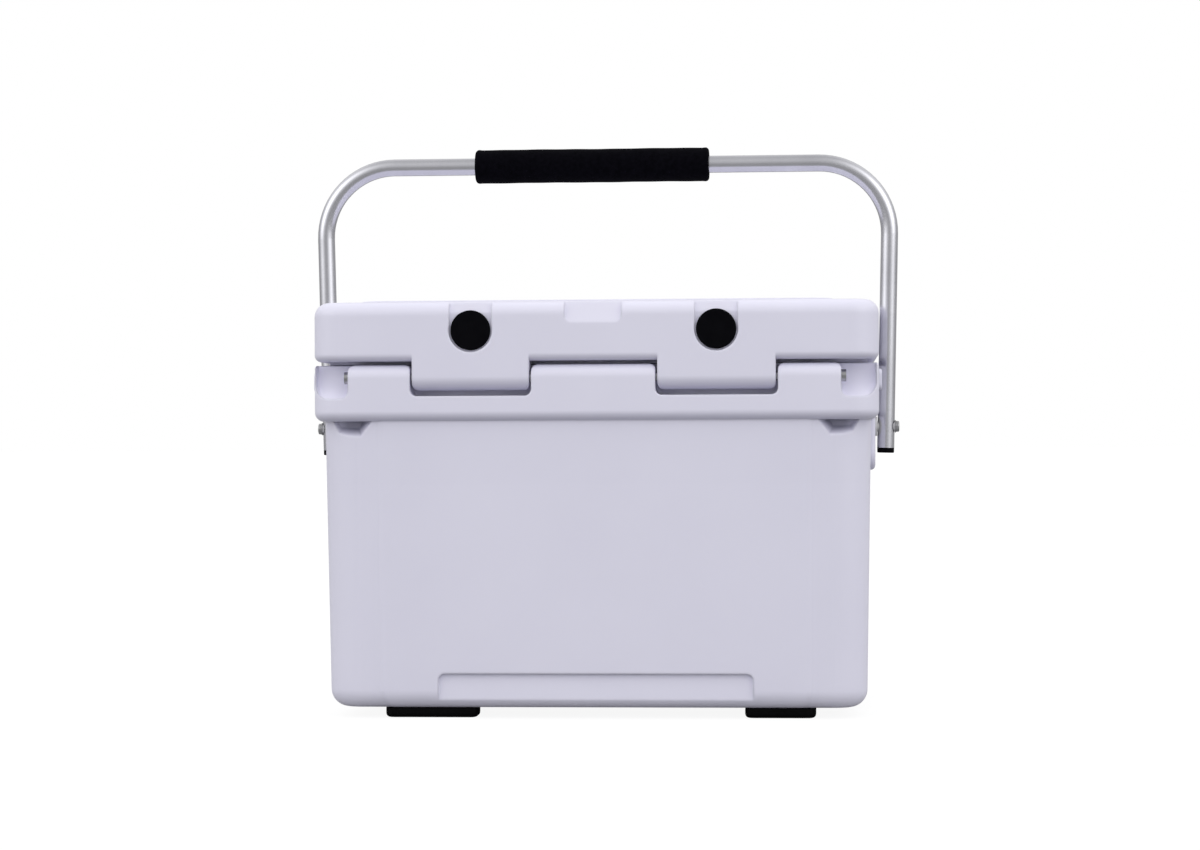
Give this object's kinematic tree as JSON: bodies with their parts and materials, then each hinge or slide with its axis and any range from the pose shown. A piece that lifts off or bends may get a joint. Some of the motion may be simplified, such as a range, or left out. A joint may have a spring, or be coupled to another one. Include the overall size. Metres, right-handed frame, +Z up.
{
  "type": "cooler chest",
  "caption": "Hard-sided insulated cooler chest with a hinged lid, bail carrying handle with foam grip, rubber latches and rubber feet.",
  "frame": {"origin": "on the floor under the middle of the chest", "axes": "+Z up, +Y towards the hinge side, X along the width"},
  "size_m": [0.5228, 0.31, 0.4988],
  "materials": {
    "white_plastic": "satin",
    "insulation": "matte",
    "black_plastic": "satin",
    "black_rubber": "matte",
    "black_foam": "matte",
    "steel": "satin",
    "aluminium_tube": "satin",
    "brass_insert": "satin"
  },
  "bodies": {
    "tub": {"tub_shell": "white_plastic", "tub_foam_core": "insulation", "tub_fill_plugs": "black_plastic", "hinge_pin_left": "steel", "hinge_pin_right": "steel", "handle_bolts": "steel", "handle_washers": "steel", "handle_inserts": "brass_insert", "latch_keepers": "black_plastic", "keeper_screws": "steel", "foot_front_left": "black_rubber", "foot_front_right": "black_rubber", "foot_rear_left": "black_rubber", "foot_rear_right": "black_rubber", "foot_screws": "steel"},
    "lid": {"lid_shell": "white_plastic", "lid_foam_core": "insulation", "lid_fill_plug_left": "black_plastic", "lid_fill_plug_right": "black_plastic", "lid_gasket": "black_rubber", "hinge_sleeve_left": "white_plastic", "hinge_sleeve_right": "white_plastic", "latch_pins": "steel"},
    "handle": {"handle_tube": "aluminium_tube", "handle_grip": "black_foam", "handle_end_cap_left": "black_plastic", "handle_end_cap_right": "black_plastic", "handle_bushes": "white_plastic"},
    "latch_left": {"latch_left": "black_rubber"},
    "latch_right": {"latch_right": "black_rubber"}
  },
  "joints": [
    {"name": "lid_hinge", "type": "hinge", "parent": "tub", "child": "lid", "pos_m": [0, 0.144, 0.291], "axis": [-1, 0, 0], "range_deg": [0, 85]},
    {"name": "handle_swing", "type": "hinge", "parent": "tub", "child": "handle", "pos_m": [0, 0, 0.248], "axis": [-1, 0, 0], "range_deg": [0, 136]},
    {"name": "latch_left_swing", "type": "hinge", "parent": "lid", "child": "latch_left", "pos_m": [0.112, -0.1475, 0.334], "axis": [-1, 0, 0], "range_deg": [0, 110], "deforming": ["latch_left"]},
    {"name": "latch_right_swing", "type": "hinge", "parent": "lid", "child": "latch_right", "pos_m": [-0.112, -0.1475, 0.334], "axis": [-1, 0, 0], "range_deg": [0, 110], "deforming": ["latch_right"]}
  ],
  "couplings": [
    {"joint": "handle_swing", "follows": "lid_hinge", "ratio": 1.6}
  ]
}
